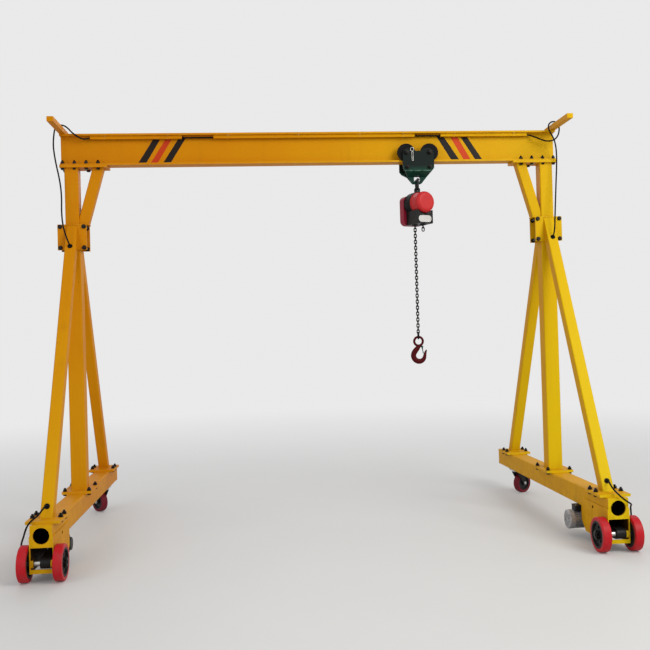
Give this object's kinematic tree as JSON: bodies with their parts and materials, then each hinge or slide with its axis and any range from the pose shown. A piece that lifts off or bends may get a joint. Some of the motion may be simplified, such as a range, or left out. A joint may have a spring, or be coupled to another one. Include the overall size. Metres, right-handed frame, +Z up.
{
  "type": "gantry crane",
  "caption": "Wheeled A-frame gantry crane with an I-beam girder, powered front wheels, rear swivel castors, and a chain hoist on a girder trolley.",
  "frame": {"origin": "on the floor, below the middle of the girder", "axes": "+X along the girder, +Y from the powered wheels to the castors, +Z up"},
  "size_m": [3.537, 2.2, 2.742],
  "materials": {
    "yellow_paint": "semi-gloss orange-yellow enamel",
    "black_casting": "satin black paint on castings",
    "motor_alloy": "cast alloy, plain silver",
    "castor_steel": "zinc-plated pressings",
    "bare_steel": "plain turned steel",
    "black_hub": "black cast wheel centres",
    "red_tyre": "cast red polyurethane",
    "green_paint": "dark green enamel",
    "black_steel": "blackened steel",
    "red_paint": "glossy red enamel",
    "black_rubber": "matt black cable sheath",
    "hook_paint": "dark red paint on forged steel"
  },
  "bodies": {
    "frame": {"girder": "yellow_paint", "head_plates": "yellow_paint", "upper_posts": "yellow_paint", "knee_braces": "yellow_paint", "splice_plates": "yellow_paint", "columns": "yellow_paint", "front_struts": "yellow_paint", "rear_struts": "yellow_paint", "foot_plates": "yellow_paint", "beam_pads": "yellow_paint", "ground_beams": "yellow_paint", "beam_end_plates": "yellow_paint", "drive_housings": "yellow_paint", "gear_units": "black_casting", "drive_motors": "motor_alloy", "terminal_boxes": "black_casting", "castor_plates": "castor_steel", "cable_arms": "yellow_paint", "cable_conduit": "yellow_paint", "conduit_cable": "black_rubber", "cable_grommets": "black_rubber", "left_power_cable": "black_rubber", "right_power_cable": "black_rubber", "left_motor_lead": "black_rubber", "right_motor_lead": "black_rubber"},
    "left_drive_wheels": {"left_drive_axle": "bare_steel", "left_drive_hubs": "black_hub", "left_drive_tyres": "red_tyre"},
    "left_castor": {"left_castor_fork": "castor_steel"},
    "left_castor_wheel": {"left_castor_hub": "black_hub", "left_castor_tyre": "red_tyre"},
    "right_drive_wheels": {"right_drive_axle": "bare_steel", "right_drive_hubs": "black_hub", "right_drive_tyres": "red_tyre"},
    "right_castor": {"right_castor_fork": "castor_steel"},
    "right_castor_wheel": {"right_castor_hub": "black_hub", "right_castor_tyre": "red_tyre"},
    "trolley": {"trolley_front_plate": "green_paint", "trolley_rear_plate": "green_paint", "trolley_spacers": "black_steel"},
    "trolley_wheel_front_left": {"trolley_wheel_front_left": "black_steel"},
    "trolley_wheel_front_right": {"trolley_wheel_front_right": "black_steel"},
    "trolley_wheel_rear_left": {"trolley_wheel_rear_left": "black_steel"},
    "trolley_wheel_rear_right": {"trolley_wheel_rear_right": "black_steel"},
    "hoist": {"hoist_shackle": "black_steel", "hoist_body": "black_casting", "hoist_back_cover": "red_paint", "hoist_front_cap": "red_paint", "hoist_control_box": "black_casting", "load_chain": "black_steel", "coupling_link": "black_steel"},
    "hook": {"lifting_hook": "hook_paint"},
    "latch": {"hook_latch": "bare_steel"}
  },
  "joints": [
    {"name": "left_drive_spin", "type": "hinge", "parent": "frame", "child": "left_drive_wheels", "pos_m": [-1.622, -1, 0.1], "axis": [1, 0, 0], "continuous": true},
    {"name": "left_castor_swivel", "type": "hinge", "parent": "frame", "child": "left_castor", "pos_m": [-1.622, 0.8, 0.165], "axis": [0, 0, 1], "continuous": true},
    {"name": "left_castor_spin", "type": "hinge", "parent": "left_castor", "child": "left_castor_wheel", "pos_m": [-1.65286, 0.83275, 0.075], "axis": [-0.7278, -0.6858, 0], "continuous": true},
    {"name": "right_drive_spin", "type": "hinge", "parent": "frame", "child": "right_drive_wheels", "pos_m": [1.622, -1, 0.1], "axis": [1, 0, 0], "continuous": true},
    {"name": "right_castor_swivel", "type": "hinge", "parent": "frame", "child": "right_castor", "pos_m": [1.622, 0.8, 0.165], "axis": [0, 0, 1], "continuous": true},
    {"name": "right_castor_spin", "type": "hinge", "parent": "right_castor", "child": "right_castor_wheel", "pos_m": [1.66151, 0.82154, 0.075], "axis": [-0.4787, 0.878, 0], "continuous": true},
    {"name": "trolley_travel", "type": "slide", "parent": "frame", "child": "trolley", "axis": [1, 0, 0], "range_m": [-1.944, 0.516]},
    {"name": "trolley_front_left_spin", "type": "hinge", "parent": "trolley", "child": "trolley_wheel_front_left", "pos_m": [0.634, -0.05, 2.5343], "axis": [0, 1, 0], "continuous": true},
    {"name": "trolley_front_right_spin", "type": "hinge", "parent": "trolley", "child": "trolley_wheel_front_right", "pos_m": [0.794, -0.05, 2.5343], "axis": [0, 1, 0], "continuous": true},
    {"name": "trolley_rear_left_spin", "type": "hinge", "parent": "trolley", "child": "trolley_wheel_rear_left", "pos_m": [0.634, 0.05, 2.5343], "axis": [0, 1, 0], "continuous": true},
    {"name": "trolley_rear_right_spin", "type": "hinge", "parent": "trolley", "child": "trolley_wheel_rear_right", "pos_m": [0.794, 0.05, 2.5343], "axis": [0, 1, 0], "continuous": true},
    {"name": "hoist_swing", "type": "hinge", "parent": "trolley", "child": "hoist", "pos_m": [0.714, 0, 2.3523], "axis": [0, 1, 0], "range_deg": [-8, 8]},
    {"name": "hook_swing", "type": "hinge", "parent": "hoist", "child": "hook", "pos_m": [0.692, 0, 1.2542], "axis": [0, 1, 0], "range_deg": [-20, 20]},
    {"name": "latch_hinge", "type": "hinge", "parent": "hook", "child": "latch", "pos_m": [0.716, 0, 1.1995], "axis": [0, 1, 0], "range_deg": [0, 28], "stiffness_Nm_per_rad": 0.05, "springref_deg": -17.19}
  ],
  "couplings": [
    {"joint": "trolley_front_left_spin", "follows": "trolley_travel", "rad_per_m": 20.833},
    {"joint": "trolley_front_right_spin", "follows": "trolley_travel", "rad_per_m": 20.833},
    {"joint": "trolley_rear_left_spin", "follows": "trolley_travel", "rad_per_m": 20.833},
    {"joint": "trolley_rear_right_spin", "follows": "trolley_travel", "rad_per_m": 20.833}
  ]
}
